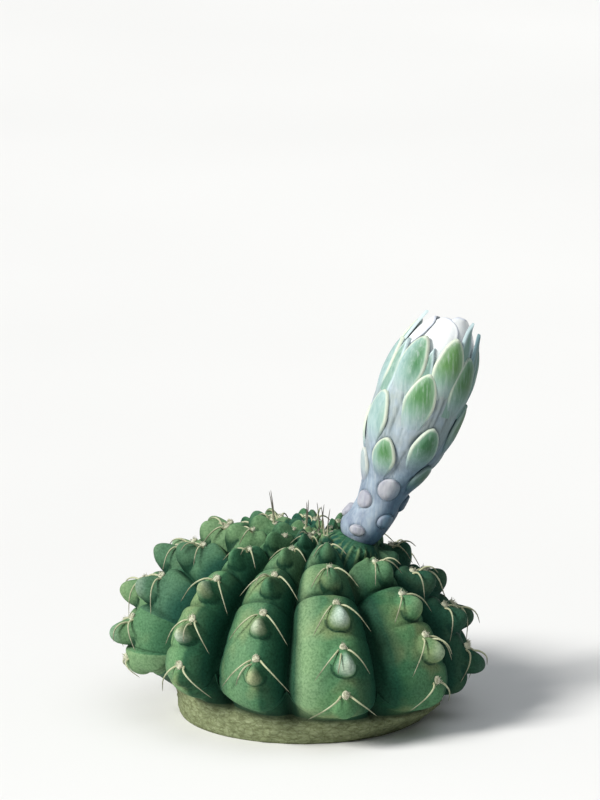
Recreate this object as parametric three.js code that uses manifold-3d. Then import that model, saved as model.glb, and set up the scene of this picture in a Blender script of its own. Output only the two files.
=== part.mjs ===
// A chin cactus: a flattened globe of thirteen ribs with a chin under every areole, curved spines,
// and one scaly flower bud rising beside the crown. Millimetres, +Z up, the front towards -Y.
// The origin is the middle of the flat corky base.
import * as THREE from "three";
import { mergeVertices } from "three/addons/utils/BufferGeometryUtils.js";
import Module from "manifold-3d";

const wasm = await Module();
wasm.setup();

const { clamp, degToRad, lerp, smoothstep } = THREE.MathUtils;

// ---- Stem ----
const RIBS = 13;
const RIB_PITCH = (2 * Math.PI) / RIBS;
const FRONT_RIB = degToRad(14.5); // azimuth of rib 0, from the front towards +X
// Radius and height of the rib crests, from the growing point in the middle down to the ribs' foot.
const CREST = [
  [0, 45],
  [5, 46],
  [11, 46.3],
  [19, 44.7],
  [27, 40.8],
  [34, 34.8],
  [39.2, 27.6],
  [41.8, 20],
  [41.7, 14.3],
  [40, 10.2],
  [35.5, 8.4],
];
const RIB_R = 41.8;
const FOOT_Z = 8.4;
// How each rib strays from an even spread, in degrees: its crest and the groove before it. Then
// how far its areoles stand down the rib from their even places, in pitches.
const RIB_WAYS = [
  [0, -6.4, 0],
  [9, 2, 0.25],
  [8, 12, 0.25],
  [4, 7, 0],
  [0, -1, 0],
  [0, -4.2, 0],
  [0, 3.1, 0],
  [0, -4.3, 0],
  [0, -5.5, 0],
  [-5, -3, 0.15],
  [-8, -6, 0.03],
  [-2, -6, 0],
  [-2.5, -8, 0],
];
const GROOVE = 9; // depth between two ribs at the widest level
const GROOVE_FOOT = 0.62; // share of that depth left at the ribs' foot
const GROOVE_SQUARE = 2.8; // over 2: a broad rib with a narrow groove
const GROOVE_WALL = 0.72; // under 1: the rib's flanks grow steep towards the groove
const RIDGED_FROM = degToRad(3); // the ribs from this azimuth on towards -X are ridged
const KEEL = 2.2; // drop from the crest of a ridged rib to its grooves
const KEEL_EVEN = 0.4; // the same on a round rib
const KEEL_ROUND = 0.077; // share of the way to the groove over which the ridge is rounded
const BASE_R = 31.5; // corky base under the ribs, where it stands
const BASE_TOP = 4.8; // at this height
const BASE_FLARE = 0.06; // it is wider by this share,
const BASE_LEAN = 2; // and this far to +X
// Under the ribs' foot: part of the ribs' own outline that is left, and height.
const BASE_ROWS = [
  [0.4, 6.9],
  [0.05, BASE_TOP],
  [0, 0],
];
const CROWN_SHIFT = 5; // the growing point stands this far to +X of the base
const CROWN_SHIFT_R = 18;
const TILT = 0.065; // the +X side is lower by this share of x, from the ribs' foot up,
const TILT_RISE = 0.0014; // and by this more for each millimetre of height
const LEFT_BULGE = 0.0019; // the -X side bulges out by this share of x squared,
const BULGE_Z = 16; // in full from this height up
const LEFT_SAG = 0.0016; // and it sags by this share of x squared,
const LEFT_SAG_RISE = 0.00002; // and by this more for each millimetre of height,
const SAG_Z = 20; // in full from this height up, and not at all at the ribs' foot
const RIGHT_BULGE = 0.0004; // the +X side bulges out low down, by this share of x squared,
const RIGHT_BULGE_Z = 14; // most at this height
const RIGHT_BULGE_REACH = 9; // and little further than this from it

// ---- Areoles, chins and spines ----
const AREOLE_PITCH = 11.6; // along a full-grown rib
const CROWD = 0.7; // how softly the pitch closes up towards the growing point
const CROWD_AT = 2;
const AREOLE_TURN = 8 / RIBS; // share of a pitch from each rib's areoles to those of the next
const LAST_AREOLE_ARC = 62; // no areole further than this from the growing point
const CROWN_GROWTH = 0.3; // size of a tubercle at the growing point, against a full-grown one
const FULL_GROWTH_ARC = 35; // it is full-grown this far down the rib
const CHIN = 4.2; // how far a full-grown chin stands out
const CHIN_DROP = 4; // from the areole down to the chin's tip
const CHIN_ABOVE = 5;
const CHIN_BELOW = 4.4;
const CHIN_HALF_WIDTH = 3.9;
const CHIN_ROUND = 1.2; // over 1: the chin runs out softly into the rib
const CHIN_KEELED = 0.78; // size of the chins on the ridged ribs
const CHIN_LOWEST = 0.35; // height of a rib's lowest chin
const LOWEST_ARCS = [52, 57]; // the areoles turn from the others to the lowest ones here
const NOTCH = 2.4; // depth of the cross groove above an areole on the shoulder
const NOTCH_LOW = 0.8; // the same low on the rib
const NOTCH_SHARE = 0.67; // where it lies, as a share of the way to the next areole
const NOTCH_FRONT = 0.3; // share of that depth left low on the front
const NOTCH_SIDE = 1.5; // and on the ribs towards -X
const YOUNG = 0.45; // tubercles less grown than this hold upright spines, on every third rib
const SPARSE = 0.62; // of the others, those less grown than this have spines on every other rib
const LOW_SPINES = 0.6; // size of the lowest spines on the ribs towards -X
const FIRST_SPINES_ARC = 4; // nearer to the growing point the tubercles have no spines yet
const SPINE_R = 0.42;
const SPINE_TAPER = 0.2; // share of the radius lost by the bend
const SPINE_VARY = 0.1; // share by which spines differ in size
const FLOOR_CLEARANCE = 1;
// Paths of full-grown spines: offsets outwards, down the rib and sideways from the areole.
const PAIR_SPINE = [
  [-1.3, -0.2, 0.7],
  [1.2, 0.9, 2.2],
  [1.1, 3.8, 5],
  [-1, 7.5, 7.9],
];
const THIRD_SPINE = [
  [-1.3, 1.1, 0.1],
  [2.2, 2, 1.4],
  [3.8, 4.3, 2.4],
  [3.4, 7.2, 3.3],
];
const YOUNG_SPINE = [
  [-1.2, 0, 0.4],
  [9, 0.6, 1.5],
  [19, 1.8, 2.7],
];

// ---- Flower bud ----
const BUD_BASE = new THREE.Vector3(15.9, -3, 46);
const BUD_AXIS = new THREE.Vector3(0.37, 0, 0.955).normalize();
const BUD_LENGTH = 59.4;
const BUD_ROOT = -0.05; // the tube starts this share of its length below the skin
const TUBE_TOP = 0.8; // share of the length where the tube ends and only petals go on
// Share of the length and radius: the bare tube, then the cone that the petals lie on.
const TUBE_KNOTS = [
  [BUD_ROOT, 3.6],
  [0, 5.3],
  [0.05, 5.9],
  [0.14, 5.6],
  [0.24, 6.3],
  [0.34, 8.2],
  [0.45, 10],
  [0.58, 10.6],
  [0.72, 10.4],
  [0.84, 9.3],
  [0.93, 7.7],
  [1, 6.4],
];
const FOOT_BEND = 1.6; // the bud's foot bends this far to -X of its axis
const FOOT_BEND_REACH = 0.15; // share of the length over which it straightens
const SEAT_R = 6.5; // the tubercles are flat this near to the bud's axis
const SEAT_REACH = 13.5; // and full this far from it
const GOLDEN_TURN = degToRad(137.7);
const FIRST_AZIMUTH = degToRad(-17);
const SCALES = 30;
// Scales counted from the lowest, and the share of the length where their middles lie.
const SCALE_HEIGHTS = [
  [0, 0.018],
  [13, 0.382],
  [18, 0.53],
  [21, 0.66],
  [24, 0.765],
  [29, 0.825],
];
const SCALE_HALF_LENGTH = [2, 7.4]; // lowest and uppermost
const SCALE_HALF_WIDTH = [2, 4.5];
const SCALE_RUN = 1.5; // a leafy scale runs down the tube this many half lengths from its middle
const SCALE_BED = 0.3; // middle of a scale's thickness, over the tube
const SCALE_TIP_LIFT = [0.2, 0.8];
const SCALE_THICKNESS = [1.9, 1.1]; // at its base and its tip
const ROUND_SCALES = 0.3; // share of the scales that are round, below the pointed ones
const OUTER_BASE = 0.64; // of the outer petals, whose tips follow one by one
const OUTER_TIPS = [0.97, 0.87, 0.985, 0.93, 0.88, 0.92, 0.99, 1.03, 0.96];
const OUTER_HALF_WIDTH = 3.3;
const OUTER_THICKNESS = [1.6, 0.8];
const INNER_PETALS = 10;
const INNER_AZIMUTH = degToRad(-20);
const INNER_TIPS = [0.985, 0.96];
const INNER_TIP_TILT = 0.03; // those towards +X reach so much higher,
const INNER_FRONT_RISE = 0.016; // those in front so much,
const INNER_BACK_DROP = 0.04; // and those at the back are lower
const INNER_HALF_WIDTH = 3.6;
const INNER_DEPTH = [2.6, 3.5]; // inside the cone, two rows
const INNER_LEAN = 1.2;
const INNER_THICKNESS = 0.9;
const CORE_DEPTH = 3.3; // the heart of the bud, inside the cone
const CORE_TOP = 0.95;
const GAP = 0.3; // between two solids that touch
const SOCKET_REACH = 0.3; // the hole in the stem is kept clear up to this share of the bud
const SOCKET_CLEARANCE = 1.6; // room for the scales round the tube

// ---- Mesh resolution ----
const COLUMNS = [-1, -0.8, -0.42, -0.18, 0, 0.18, 0.42, 0.8]; // shares of the way to a groove
const STEM_ROWS = 27;
const ROW_CROWDING = 0.95; // under 1: rows stand closer low on the ribs
const CREST_SAMPLES = 600;
const SPINE_SIDES = 3;
const SPINE_BEND = 0.5;
const TUBE_SIDES = 14;
const TUBE_ROWS = 9;
const BLADE_ROWS = 4;

// ---- Closed surfaces ----

// Volume inside a closed surface, negative where its faces point inwards.
function signedVolume(geometry) {
  const { position } = geometry.attributes;
  const [a, b, c] = [0, 1, 2].map(() => new THREE.Vector3());
  let sum = 0;
  for (let i = 0; i < geometry.index.count; i += 3) {
    a.fromBufferAttribute(position, geometry.index.getX(i));
    b.fromBufferAttribute(position, geometry.index.getX(i + 1));
    c.fromBufferAttribute(position, geometry.index.getX(i + 2));
    sum += a.dot(b.cross(c)) / 6;
  }
  return sum;
}

// A closed indexed surface as a manifold solid, its faces turned outwards.
function toSolid(points, indices) {
  const geometry = new THREE.BufferGeometry().setFromPoints(points);
  geometry.setIndex(indices);
  const merged = mergeVertices(geometry, 1e-4);
  if (signedVolume(merged) < 0) merged.index.array.reverse();
  return new wasm.Manifold(
    new wasm.Mesh({
      numProp: 3,
      vertProperties: merged.attributes.position.array,
      triVerts: new Uint32Array(merged.index.array),
    }),
  );
}

// The largest body of a solid, as a geometry: a scrap that a cut leaves loose is dropped.
function toGeometry(solid) {
  const largest = solid.decompose().sort((a, b) => b.volume() - a.volume())[0];
  const mesh = largest.getMesh();
  const geometry = new THREE.BufferGeometry();
  geometry.setAttribute("position", new THREE.Float32BufferAttribute(mesh.vertProperties, 3));
  geometry.setIndex(new THREE.BufferAttribute(mesh.triVerts, 1));
  geometry.computeVertexNormals();
  return geometry;
}

// A closed surface from a first point, rings of equally many points, and a last point.
function closedRings(first, rings, last) {
  const sides = rings[0].length;
  const indices = [];
  const at = (row, side) => 1 + row * sides + (side % sides);
  const end = 1 + rings.length * sides;
  for (let side = 0; side < sides; side++) {
    indices.push(0, at(0, side), at(0, side + 1));
    indices.push(end, at(rings.length - 1, side + 1), at(rings.length - 1, side));
    for (let row = 0; row + 1 < rings.length; row++) {
      indices.push(at(row, side), at(row + 1, side), at(row + 1, side + 1));
      indices.push(at(row, side), at(row + 1, side + 1), at(row, side + 1));
    }
  }
  return toSolid([first, ...rings.flat(), last], indices);
}

// ---- The stem's surface ----

const budSide = new THREE.Vector3(1, 0, 0).addScaledVector(BUD_AXIS, -BUD_AXIS.x).normalize();
const budBack = new THREE.Vector3().crossVectors(BUD_AXIS, budSide);
const crest = new THREE.SplineCurve(CREST.map(([r, z]) => new THREE.Vector2(r, z)));
const crestPoints = crest.getSpacedPoints(CREST_SAMPLES);
const FULL_ARC = crest.getLength();

// Radius, height and outward normal of the rib crests at an arc length from the growing point.
function crestAt(arc) {
  const place = clamp(arc / FULL_ARC, 0, 1) * CREST_SAMPLES;
  const i = Math.min(Math.floor(place), CREST_SAMPLES - 1);
  const [a, b] = [crestPoints[i], crestPoints[i + 1]];
  const along = b.clone().sub(a).normalize();
  const p = a.clone().lerp(b, place - i);
  return { r: p.x, z: p.y, outR: -along.y, outZ: along.x };
}

const fraction = (x) => x - Math.floor(x);
// Arc length of areole number v of a rib, counted from the growing point, and its inverse.
const SOFT = AREOLE_PITCH * CROWD;
const areoleArc = (v) => SOFT * Math.log(1 + Math.exp((v - CROWD_AT) / CROWD));
const areoleNumber = (arc) =>
  CROWD_AT + CROWD * Math.log(Math.exp(Math.max(arc, 0.01) / SOFT) - 1);
// The number of a rib's first areole, from 0 to 1.
const ribPhase = (rib) => fraction(rib * AREOLE_TURN + RIB_WAYS[rib % RIBS][2]);
// How full-grown the tubercles are at an arc length.
const growth = (arc) => lerp(CROWN_GROWTH, 1, clamp(arc / FULL_GROWTH_ARC, 0, 1));

const crestAzimuth = (rib) => FRONT_RIB + rib * RIB_PITCH + degToRad(RIB_WAYS[rib % RIBS][0]);
// Azimuth of the groove between a rib and the one before.
const grooveAzimuth = (rib) =>
  FRONT_RIB + (rib - 0.5) * RIB_PITCH + degToRad(RIB_WAYS[rib % RIBS][1]);

// Azimuth at a share of the way from a rib's crest (0) to its grooves (-1 and 1).
function azimuthAt(rib, share) {
  return lerp(crestAzimuth(rib), grooveAzimuth(share < 0 ? rib : rib + 1), Math.abs(share));
}

// The ribs towards -X are ridged (1), the others round (0).
const keeled = (rib) => smoothstep(Math.sin(RIDGED_FROM - FRONT_RIB - rib * RIB_PITCH), -0.05, 0.2);
// The outermost of them have deep notches.
const lumpy = (rib) => smoothstep(-Math.sin(crestAzimuth(rib)), 0.7, 0.9);

// How far a chin stands out at a distance below its areole and to the side of the rib's middle.
function chin(below, side, size) {
  const drop = below - CHIN_DROP;
  const along = drop / ((drop > 0 ? CHIN_BELOW : CHIN_ABOVE) * size);
  const across = side / (CHIN_HALF_WIDTH * size);
  return CHIN * size * Math.max(0, 1 - along ** 2 - across ** 2) ** CHIN_ROUND;
}

// Depth of the cross notch above an areole on the crest of a rib, before its run across the rib.
function notchDepth(rib, azimuth, arc) {
  const depth = lerp(NOTCH, NOTCH_LOW, smoothstep(arc, 22, 50)) * Math.min(1, arc / 14);
  const front = smoothstep(Math.cos(azimuth - FRONT_RIB / 2), 0.5, 0.95) * smoothstep(arc, 34, 44);
  return depth * lerp(1, NOTCH_FRONT, front) * lerp(1, NOTCH_SIDE, lumpy(rib));
}

// Height of the skin over the crests' outline: the groove, the ridge, the notches and the chins.
function relief(rib, share, arc) {
  const { r } = crestAt(arc);
  const size = growth(arc);
  const azimuth = azimuthAt(rib, share);
  const low = smoothstep(arc, areoleArc(5.5), FULL_ARC);
  const wall = (1 - Math.abs(share) ** GROOVE_SQUARE) ** GROOVE_WALL;
  const groove = GROOVE * (r / RIB_R) ** 0.8 * lerp(1, GROOVE_FOOT, low) * (1 - wall);
  const ridge = Math.hypot(share, KEEL_ROUND) - KEEL_ROUND;
  const keel = lerp(KEEL_EVEN, KEEL, keeled(rib)) * ridge * size;
  const cell = fraction(areoleNumber(arc) - ribPhase(rib));
  const wave = 0.5 + 0.5 * Math.cos(2 * Math.PI * (cell - NOTCH_SHARE));
  const notch = notchDepth(rib, azimuth, arc) * wave ** 2 * (1 - 0.4 * share ** 2);
  const past = cell > 0.75 ? cell - 1 : cell; // number counted from the nearest areole's
  const ownArc = areoleArc(areoleNumber(arc) - past);
  const side = (r * (azimuth - azimuthAt(rib, 0))) / size;
  const chinSize = lerp(1, CHIN_KEELED, keeled(rib) * (1 - lumpy(rib)));
  const lowest = lerp(1, CHIN_LOWEST, smoothstep(ownArc, ...LOWEST_ARCS));
  const nose = size * lowest * chin(past * AREOLE_PITCH, side, chinSize);
  return (ownArc > LAST_AREOLE_ARC ? 0 : nose) - groove - keel - notch;
}

// The plant leans: its +X side is lower, and its growing point stands off the middle of the base.
function lean(x, y, z) {
  const fromAxis = Math.hypot(x, y) / CROWN_SHIFT_R;
  const shift = z > RIB_R / 2 ? CROWN_SHIFT * Math.exp(-(fromAxis ** 2)) : 0;
  const tilt = TILT * Math.min(1, z / FOOT_Z) + TILT_RISE * z;
  const left = Math.min(0, x) ** 2;
  const sag = (LEFT_SAG + LEFT_SAG_RISE * z) * left * clamp((z - FOOT_Z) / (SAG_Z - FOOT_Z), 0, 1);
  const leftBulge = LEFT_BULGE * left * smoothstep(z, 0, BULGE_Z);
  const nearBulge = Math.exp(-(((z - RIGHT_BULGE_Z) / RIGHT_BULGE_REACH) ** 2));
  const rightBulge = RIGHT_BULGE * Math.max(0, x) ** 2 * nearBulge;
  return new THREE.Vector3(x + shift - leftBulge + rightBulge, y, z - tilt * x - sag);
}

function around(azimuth, r, z) {
  return lean(r * Math.sin(azimuth), -r * Math.cos(azimuth), z);
}

// Distance of a point from the axis that the bud has at its foot.
function fromBud(point) {
  const offset = point.clone().sub(BUD_BASE).addScaledVector(budSide, FOOT_BEND);
  return offset.projectOnPlane(BUD_AXIS).length();
}

// A point of the skin on a rib, at a share of the way to its grooves and an arc length.
function skin(rib, share, arc) {
  const { r, z, outR, outZ } = crestAt(arc);
  const azimuth = azimuthAt(rib, share);
  const seat = smoothstep(fromBud(around(azimuth, r, z)), SEAT_R, SEAT_REACH);
  const full = relief(rib, share, arc);
  const height = full > 0 ? full * seat : full;
  return around(azimuth, r + outR * height, z + outZ * height);
}

// Under the ribs' foot: part is 1 at the ribs' own outline and 0 at the round corky base.
function footPoint(rib, share, part, z) {
  const up = Math.min(1, z / BASE_TOP);
  const base = BASE_R * (1 + BASE_FLARE * up);
  const outline = crestAt(FULL_ARC).r + relief(rib, share, FULL_ARC);
  const point = around(azimuthAt(rib, share), lerp(base, outline, part), z);
  point.x += BASE_LEAN * up * (1 - part);
  return point;
}

function stemBody() {
  const ring = (pointAt) => {
    const points = [];
    for (let rib = 0; rib < RIBS; rib++) {
      COLUMNS.forEach((share) => points.push(pointAt(rib, share)));
    }
    return points;
  };
  const rings = [];
  for (let row = 1; row <= STEM_ROWS; row++) {
    const arc = FULL_ARC * (row / STEM_ROWS) ** ROW_CROWDING;
    rings.push(ring((rib, share) => skin(rib, share, arc)));
  }
  for (const [part, z] of BASE_ROWS) {
    rings.push(ring((rib, share) => footPoint(rib, share, part, z)));
  }
  return closedRings(skin(0, 0, 0), rings, new THREE.Vector3(0, 0, 0));
}

// ---- Spines ----

// A tapered needle along a curve: a sunk root, a bend and a tip.
function needle(points) {
  const curve = new THREE.CatmullRomCurve3(points);
  const aside = new THREE.Vector3(0.2, 0.1, 1).normalize();
  const ring = (t) => {
    const u = new THREE.Vector3().crossVectors(curve.getTangent(t), aside).normalize();
    const v = new THREE.Vector3().crossVectors(curve.getTangent(t), u);
    const r = SPINE_R * (1 - (SPINE_TAPER * t) / SPINE_BEND);
    return Array.from({ length: SPINE_SIDES }, (_, side) => {
      const a = (2 * Math.PI * side) / SPINE_SIDES;
      const p = curve.getPoint(t).addScaledVector(u, r * Math.cos(a));
      return p.addScaledVector(v, r * Math.sin(a));
    });
  };
  const indices = [0, 2, 1];
  const tip = 2 * SPINE_SIDES;
  for (let side = 0; side < SPINE_SIDES; side++) {
    const next = (side + 1) % SPINE_SIDES;
    indices.push(side, next, SPINE_SIDES + next);
    indices.push(side, SPINE_SIDES + next, SPINE_SIDES + side);
    indices.push(SPINE_SIDES + side, SPINE_SIDES + next, tip);
  }
  return toSolid([...ring(0), ...ring(SPINE_BEND), points.at(-1)], indices);
}

// The areole's place with the directions outwards, down the rib and sideways.
function areoleFrame(rib, arc) {
  const a = azimuthAt(rib, 0);
  const { outR, outZ } = crestAt(arc);
  const out = new THREE.Vector3(outR * Math.sin(a), -outR * Math.cos(a), outZ);
  const side = new THREE.Vector3(Math.cos(a), Math.sin(a), 0);
  const down = new THREE.Vector3().crossVectors(side, out);
  return { at: skin(rib, 0, arc), out, down, side };
}

// A spine on a path of offsets from the areole, mirrored by hand (-1 or 1). The root isn't scaled.
function spine(frame, path, hand, size) {
  const points = path.map(([out, down, side], i) => {
    const scale = i === 0 ? 1 : size;
    const p = frame.at.clone().addScaledVector(frame.out, out * scale);
    p.addScaledVector(frame.down, down * scale).addScaledVector(frame.side, side * scale * hand);
    p.z = Math.max(p.z, FLOOR_CLEARANCE);
    return p;
  });
  return needle(points);
}

// Whether an areole's spines stand upright, as on every third rib near the growing point. On the
// ribs towards -X they do so further down.
function isYoung(rib, arc) {
  return growth(arc) < (rib % 3 ? YOUNG : lerp(YOUNG, SPARSE, lumpy(rib)));
}

// Two spines curve out to the sides and down over the rib. Every other areole has a third one.
function spinesOf(rib, number) {
  const arc = areoleArc(number);
  const frame = areoleFrame(rib, arc);
  const young = isYoung(rib, arc);
  const grown = young ? Math.min(growth(arc), YOUNG) : growth(arc);
  const low = lerp(1, LOW_SPINES, lumpy(rib) * smoothstep(arc, ...LOWEST_ARCS));
  const size = grown * low * (1 + SPINE_VARY * Math.sin(7.3 * rib + 3.1 * number));
  const path = young ? YOUNG_SPINE : PAIR_SPINE;
  const made = [-1, 1].map((hand) => spine(frame, path, hand, size));
  const third = !young && (rib + Math.floor(number)) % 2 === 0;
  if (third) made.push(spine(frame, THIRD_SPINE, rib % 3 ? 1 : -1, size));
  return made;
}

// Whether an areole holds spines: the young ones stand on some ribs only.
function isSpined(rib, arc) {
  if (isYoung(rib, arc)) return arc > FIRST_SPINES_ARC && rib % 3 === 0;
  return growth(arc) > SPARSE || rib % 2 === 0;
}

function allSpines() {
  const made = [];
  for (let rib = 0; rib < RIBS; rib++) {
    for (let v = ribPhase(rib) + 1; areoleArc(v) < LAST_AREOLE_ARC; v++) {
      if (isSpined(rib, areoleArc(v))) made.push(...spinesOf(rib, v));
    }
  }
  return made;
}

// ---- The flower bud ----

const tubeCurve = new THREE.SplineCurve(TUBE_KNOTS.map(([t, r]) => new THREE.Vector2(t, r)));

// A point of the bud: height as a share of its length, azimuth from the front, radius.
function budPoint(t, azimuth, radius) {
  const bend = FOOT_BEND * (1 - smoothstep(t, 0, FOOT_BEND_REACH));
  return BUD_BASE.clone()
    .addScaledVector(BUD_AXIS, t * BUD_LENGTH)
    .addScaledVector(budSide, radius * Math.sin(azimuth) - bend)
    .addScaledVector(budBack, -radius * Math.cos(azimuth));
}

function tubeRadius(t) {
  const spans = TUBE_KNOTS.length - 1;
  let k = 0;
  while (k < spans - 1 && TUBE_KNOTS[k + 1][0] < t) k++;
  const [from, to] = [TUBE_KNOTS[k][0], TUBE_KNOTS[k + 1][0]];
  return tubeCurve.getPoint((k + clamp((t - from) / (to - from), 0, 1)) / spans).y;
}

// A solid of revolution about the bud's axis, its radius the tube's and a constant.
function budLathe(from, to, rows, wider) {
  const rings = Array.from({ length: rows + 1 }, (_, row) => {
    const t = lerp(from, to, row / rows);
    return Array.from({ length: TUBE_SIDES }, (_, side) =>
      budPoint(t, (2 * Math.PI * side) / TUBE_SIDES, tubeRadius(t) + wider),
    );
  });
  return closedRings(budPoint(from, 0, 0), rings, budPoint(to, 0, 0));
}

// A thin blade on the bud's cone with two edges and a raised middle. Its radius, the share of its
// half width and its thickness are given along it, from base to tip.
function blade({ base, tip, azimuth, halfWidth, radius, outline, thickness }) {
  const section = (share) => {
    const t = lerp(base, tip, share);
    const r = radius(t, share);
    const thick = thickness(share);
    const half = (halfWidth * outline(share)) / r;
    return [
      budPoint(t, azimuth - half, r - 0.25 * thick),
      budPoint(t, azimuth, r + 0.5 * thick),
      budPoint(t, azimuth + half, r - 0.25 * thick),
      budPoint(t, azimuth, r - 0.75 * thick),
    ];
  };
  const end = (share) => {
    const t = lerp(base, tip, share);
    return budPoint(t, azimuth, radius(t, share) - 0.1 * thickness(share));
  };
  const sections = Array.from({ length: BLADE_ROWS }, (_, row) =>
    section((row + 0.35) / (BLADE_ROWS - 0.3)),
  );
  return closedRings(end(0), sections, end(1));
}

const roundOutline = (share) => Math.sqrt(1 - (2 * share - 1) ** 2);
const leafOutline = (share) =>
  (0.42 + 0.58 * smoothstep(share, 0, 0.62)) * (1 - share ** 3.2) ** 0.62;
const pointedOutline = (share) => Math.sin(Math.PI * share ** 0.85) ** 0.75;
const bluntOutline = (share) => Math.min(1, 0.75 + 0.4 * share) * Math.sqrt(1 - share ** 4);

// Share of the bud's length where the middle of scale n lies.
function scaleHeight(n) {
  const k = Math.max(1, SCALE_HEIGHTS.findIndex(([count]) => count >= n));
  const [below, above] = [SCALE_HEIGHTS[k - 1], SCALE_HEIGHTS[k]];
  return lerp(below[1], above[1], (n - below[0]) / (above[0] - below[0]));
}

// Scale n of the tube. They climb by the golden turn, small and round at first, then longer and
// pointed.
function tubeScale(n) {
  const age = n / (SCALES - 1);
  const middle = scaleHeight(n);
  const half = lerp(...SCALE_HALF_LENGTH, smoothstep(age, 0.05, 0.95)) / BUD_LENGTH;
  const lift = lerp(...SCALE_TIP_LIFT, age);
  const leafy = age >= ROUND_SCALES;
  return blade({
    base: Math.max(middle - (leafy ? SCALE_RUN : 1) * half, 0),
    tip: middle + half,
    azimuth: FIRST_AZIMUTH + n * GOLDEN_TURN,
    halfWidth: lerp(...SCALE_HALF_WIDTH, smoothstep(age, 0, 0.7)),
    radius: (t, share) => tubeRadius(t) + SCALE_BED + lift * share ** 2,
    outline: leafy ? leafOutline : roundOutline,
    thickness: (share) => lerp(...SCALE_THICKNESS, share),
  });
}

function outerPetal(n) {
  return blade({
    base: OUTER_BASE,
    tip: OUTER_TIPS[n],
    azimuth: FIRST_AZIMUTH + (SCALES + n) * GOLDEN_TURN,
    halfWidth: OUTER_HALF_WIDTH,
    radius: (t, share) => tubeRadius(t) + 0.2 + 0.7 * share ** 3,
    outline: pointedOutline,
    thickness: (share) => lerp(...OUTER_THICKNESS, share),
  });
}

// The inner petals stand in two rows, every other one further in.
function innerPetal(n) {
  const azimuth = INNER_AZIMUTH + (2 * Math.PI * n) / INNER_PETALS;
  const front = Math.cos(azimuth);
  const rise = front * (front > 0 ? INNER_FRONT_RISE : INNER_BACK_DROP);
  return blade({
    base: TUBE_TOP + (2 * GAP) / BUD_LENGTH,
    tip: INNER_TIPS[n % 2] + INNER_TIP_TILT * Math.max(0, Math.sin(azimuth)) + rise,
    azimuth,
    halfWidth: INNER_HALF_WIDTH,
    radius: (t, share) => tubeRadius(t) - INNER_DEPTH[n % 2] - INNER_LEAN * share ** 3,
    outline: bluntOutline,
    thickness: () => INNER_THICKNESS,
  });
}

function flowerTube() {
  const tube = budLathe(BUD_ROOT, TUBE_TOP, TUBE_ROWS, 0);
  const scales = Array.from({ length: SCALES }, (_, n) => tubeScale(n));
  const petals = OUTER_TIPS.map((_, n) => outerPetal(n));
  return wasm.Manifold.union([tube, ...scales, ...petals]);
}

function innerPetals() {
  const core = budLathe(TUBE_TOP + GAP / BUD_LENGTH, CORE_TOP, 4, -CORE_DEPTH);
  const petals = Array.from({ length: INNER_PETALS }, (_, n) => innerPetal(n));
  return wasm.Manifold.union([core, ...petals]);
}

// The ribbed body with its spines, and a plain hole that the bud's foot stands in.
function stem() {
  const from = BUD_ROOT - GAP / BUD_LENGTH;
  const hole = budLathe(from, SOCKET_REACH, 5, SOCKET_CLEARANCE + GAP);
  return wasm.Manifold.union([stemBody(), ...allSpines()]).subtract(hole);
}

// ---- Assembly ----

function piece(name, solid, color, roughness) {
  const material = new THREE.MeshStandardMaterial({ color, roughness, metalness: 0 });
  const mesh = new THREE.Mesh(toGeometry(solid), material);
  mesh.name = name;
  return mesh;
}

const cactus = new THREE.Group();
cactus.add(piece("stem", stem(), 0x3f7350, 0.55));
cactus.add(piece("flower_tube", flowerTube(), 0x9bb5b4, 0.6));
cactus.add(piece("inner_petals", innerPetals(), 0xeef3f6, 0.5));

export default cactus;
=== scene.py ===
"""A chin cactus in bud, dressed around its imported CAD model.

Sizes are millimetres in this file, and mesh_object() turns them into metres. The front is -Y.
"""

import math

import bpy
import numpy as np
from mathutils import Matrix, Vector


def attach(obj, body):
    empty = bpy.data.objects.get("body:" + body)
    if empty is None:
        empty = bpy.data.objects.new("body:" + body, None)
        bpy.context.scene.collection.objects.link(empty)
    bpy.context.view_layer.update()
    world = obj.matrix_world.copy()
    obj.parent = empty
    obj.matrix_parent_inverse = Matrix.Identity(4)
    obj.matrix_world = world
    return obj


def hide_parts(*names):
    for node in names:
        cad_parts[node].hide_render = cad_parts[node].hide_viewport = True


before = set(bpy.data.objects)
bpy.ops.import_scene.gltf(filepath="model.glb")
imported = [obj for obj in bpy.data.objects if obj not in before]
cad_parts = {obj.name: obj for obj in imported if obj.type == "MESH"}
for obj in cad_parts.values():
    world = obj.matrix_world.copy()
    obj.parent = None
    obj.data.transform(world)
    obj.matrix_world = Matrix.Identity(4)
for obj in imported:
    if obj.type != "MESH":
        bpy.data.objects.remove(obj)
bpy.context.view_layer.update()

MM = 0.001

# ---- Stem, mostly as in the CAD model ----
RIBS = 13
RIB_PITCH = math.tau / RIBS
FRONT_RIB = math.radians(14.5)  # azimuth of rib 0, from -Y towards +X
CREST = [  # radius and height of the crests, from the growing point to the ribs' foot
    (0, 45), (5, 46), (11, 46.3), (19, 44.7), (27, 40.8), (34, 34.8), (39.2, 27.6), (41.8, 20),
    (41.7, 14.3), (40, 10.2), (35.5, 8.4),
]
RIB_R = 41.8  # widest radius of the crests
FOOT_Z = 8.4  # height of the ribs' foot
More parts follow.
